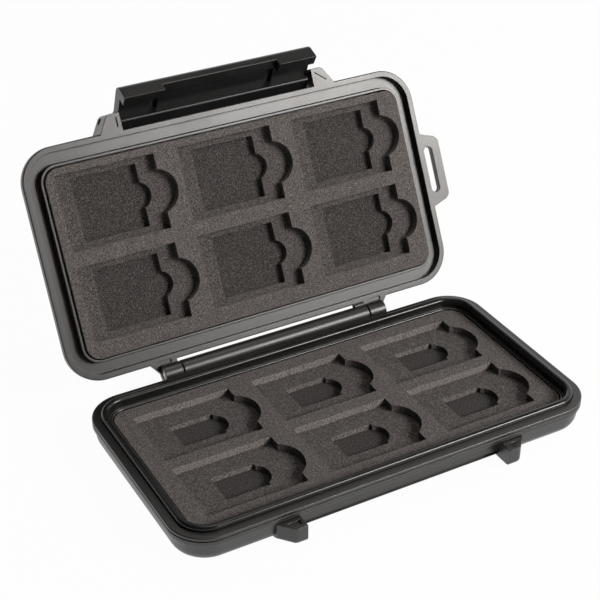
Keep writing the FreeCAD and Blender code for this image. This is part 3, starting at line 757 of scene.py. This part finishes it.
@dataclass(frozen=True)
class Studio:
    """White floor, soft light and the camera of the photograph."""

    lamps: Tuple[Softbox, ...]
    dome_tilt: Place
    dome_reach: float
    dome_low: float
    dome_high: float
    floor_size: float
    floor_rim: float
    floor_drop: float
    floor_grey: float
    floor_glow: float
    camera_spot: Place
    camera_turn: Place
    sensor: float
    lens: float
    clip_start: float

    def backdrop(self) -> None:
        """A dim dome of light that runs to white at the horizon and higher up behind the case."""
        world = bpy.data.worlds.new("studio_dome")
        world.use_nodes = True
        bpy.context.scene.world = world
        tree = world.node_tree
        dome = tree.nodes["Background"]
        dome.inputs["Color"].default_value = (1, 1, 1, 1)
        place = tree.nodes.new("ShaderNodeTexCoord")
        tilt = tree.nodes.new("ShaderNodeVectorMath")
        tilt.operation = "DOT_PRODUCT"
        tilt.inputs[1].default_value = self.dome_tilt
        height = tree.nodes.new("ShaderNodeMapRange")
        height.inputs["From Max"].default_value = self.dome_reach
        height.inputs["To Min"].default_value = self.dome_low
        height.inputs["To Max"].default_value = self.dome_high
        tree.links.new(place.outputs["Generated"], tilt.inputs[0])
        tree.links.new(tilt.outputs["Value"], height.inputs["Value"])
        tree.links.new(height.outputs["Result"], dome.inputs["Strength"])

    def floor_finish(self) -> bpy.types.Material:
        """Build the floor's white, plain to the eye and in reflections, with a faint shadow left.

        Returns:
            The floor's material.
        """
        graph = NodeGraph("white_floor")
        graph.shader.inputs["Base Color"].default_value = (*[self.floor_grey] * 3, 1)
        graph.set(Roughness=0.9, Specular_IOR_Level=0.1)
        path = graph.add("ShaderNodeLightPath")
        seen = path.outputs["Is Camera Ray"]
        for ray in ("Is Glossy Ray", "Is Transmission Ray"):
            either = graph.add("ShaderNodeMath", operation="MAXIMUM")
            graph.join(seen, either.inputs[0])
            graph.join(path.outputs[ray], either.inputs[1])
            seen = either.outputs[0]
        share = graph.add("ShaderNodeMath", operation="MULTIPLY")
        share.inputs[1].default_value = self.floor_glow
        glow = graph.add("ShaderNodeEmission")
        choice = graph.add("ShaderNodeMixShader")
        graph.join(seen, share.inputs[0])
        graph.join(share.outputs[0], choice.inputs["Fac"])
        graph.join(graph.shader.outputs[0], choice.inputs[1])
        graph.join(glow.outputs[0], choice.inputs[2])
        graph.join(choice.outputs[0], graph.tree.nodes["Material Output"].inputs["Surface"])
        return graph.material

    def floor(self) -> None:
        """A plain white floor with a low rim far out."""
        shape = bmesh.new()
        bmesh.ops.create_grid(shape, x_segments=1, y_segments=1, size=self.floor_size)
        rim = bmesh.ops.extrude_edge_only(shape, edges=shape.edges[:])["geom"]
        raised = [item for item in rim if isinstance(item, bmesh.types.BMVert)]
        bmesh.ops.translate(shape, verts=raised, vec=(0, 0, self.floor_rim))
        bmesh.ops.translate(shape, verts=shape.verts[:], vec=(0, 0, -self.floor_drop))
        mesh = bpy.data.meshes.new("floor")
        shape.to_mesh(mesh)
        shape.free()
        new_piece("floor", mesh, self.floor_finish())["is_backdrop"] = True

    def camera(self) -> None:
        """The camera where the photograph was taken from."""
        data = bpy.data.cameras.new("camera")
        data.sensor_width = self.sensor
        data.lens = self.lens
        data.clip_start = self.clip_start
        eye = bpy.data.objects.new("camera", data)
        eye.location = self.camera_spot
        eye.rotation_euler = tuple(math.radians(turn) for turn in self.camera_turn)
        bpy.context.scene.collection.objects.link(eye)
        bpy.context.scene.camera = eye

    def build(self) -> None:
        """Set up backdrop, floor, lamps and camera."""
        self.backdrop()
        self.floor()
        for lamp in self.lamps:
            lamp.build()
        self.camera()
        bpy.context.scene.view_settings.view_transform = "Standard"


BASE_CARD = Window(33.0 * MM, 24.1 * MM, chord=15.6 * MM, radius=9.1 * MM)
MICRO_CARD = Window(14.6 * MM, 11.0 * MM, chord=8.8 * MM, radius=5.0 * MM)
LID_CARD = Window(33.7 * MM, 24.6 * MM, chord=14.2 * MM, radius=7.3 * MM)
MINI_CARD = Window(22.3 * MM, 20.6 * MM, chord=8.2 * MM, radius=4.3 * MM)
# Each pad's deeper sheets take a darker painted shade, standing in for the shade in the pockets
BASE_PAD = FoamPad(
    pitch=(40.9 * MM, 28.76 * MM),
    shift=(1.25 * MM, 0.1 * MM),
    size=Vector((129.1 * MM, 62.7 * MM, 0)),
    corner=5.25 * MM,
    sheets=(
        FoamSheet("base_foam_top", 5.8 * MM, 2.5 * MM, BASE_CARD, PaintedShade.FACE),
        FoamSheet("base_foam_middle", 4.0 * MM, 1.8 * MM, MICRO_CARD, PaintedShade.STEP),
        FoamSheet("base_foam_backing", 3.6 * MM, 0.4 * MM, None, PaintedShade.DEEP),
    ),
)
LID_PAD = FoamPad(
    pitch=(41.8 * MM, 29.4 * MM),
    shift=(2.15 * MM, 1.35 * MM),
    size=Vector((127.8 * MM, 61.4 * MM, 0)),
    corner=4.6 * MM,
    sheets=(
        FoamSheet("lid_foam_top", 9.2 * MM, 3.0 * MM, LID_CARD, PaintedShade.FACE),
        FoamSheet("lid_foam_middle", 12.2 * MM, 2.2 * MM, MINI_CARD, PaintedShade.STEP),
        FoamSheet("lid_foam_backing", 14.4 * MM, 3.9 * MM, None, PaintedShade.FLOOR),
    ),
)
BASE_HALF = SubAssembly(
    body=Body.BASE,
    mouldings=(
        Moulding("base_shell", Slot.SHELL, SHELL_FINISH, 0.15 * MM),
        Moulding("base_liner", Slot.TRAY, TRAY_FINISH, 0.34 * MM),
        Moulding("base_seal", Slot.SEAL, SEAL_FINISH, 0.1 * MM),
    ),
    pads=(BASE_PAD,),
    rods=(Rod("hinge_pin", STEEL_FINISH),),
)
LID_HALF = SubAssembly(
    body=Body.LID,
    mouldings=(
        Moulding("lid_shell", Slot.SHELL, SHELL_FINISH, 0.16 * MM),
        Moulding("lid_liner", Slot.TRAY, SHELL_FINISH, 0.2 * MM),
    ),
    pads=(LID_PAD,),
    rods=(Rod("latch_pin", STEEL_FINISH),),
)
LATCH = SubAssembly(
    body=Body.LATCH,
    mouldings=(Moulding("latch", Slot.SHELL, LATCH_FINISH, 0.25 * MM),),
)
STUDIO = Studio(
    lamps=(
        Softbox(
            name="key_softbox",
            spot=(0.72, -0.85, 0.64),
            aim=(0, 0.03, 0.04),
            size=(0.66, 0.42),
            power=15.5,
            colour=(1.0, 0.97, 0.945),
        ),
        Softbox(
            name="top_softbox",
            spot=(0.2, 0.15, 1.1),
            aim=(0, 0.02, 0.03),
            size=(0.5, 0.35),
            power=1.6,
            colour=(1.0, 0.95, 0.88),
        ),
    ),
    dome_tilt=(-0.45, -0.45, 1.0),
    dome_reach=0.45,
    dome_low=1.0,
    dome_high=0.06,
    floor_size=4.0,
    floor_rim=0.4,
    floor_drop=0.2 * MM,
    floor_grey=0.82,
    floor_glow=0.97,
    camera_spot=(-0.19317, -0.32295, 0.28491),
    camera_turn=(57.82, 0, -29.02),
    sensor=36,
    lens=89.258,
    clip_start=0.01,
)


def corners() -> List[List[float]]:
    """Lowest and highest corner of what is shown, as plain lists."""
    return [list(corner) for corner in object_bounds()]


def main() -> None:
    """Build and dress the sub-assemblies in order and set up the studio."""
    logging.basicConfig(level=logging.INFO, format="%(name)s %(message)s")
    noise.seed_set(CUT_SEED)
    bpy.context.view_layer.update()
    palette = Palette()
    for assembly in (BASE_HALF, LID_HALF, LATCH):
        assembly.build(palette)
    STUDIO.build()


if __name__ == "__main__":
    main()
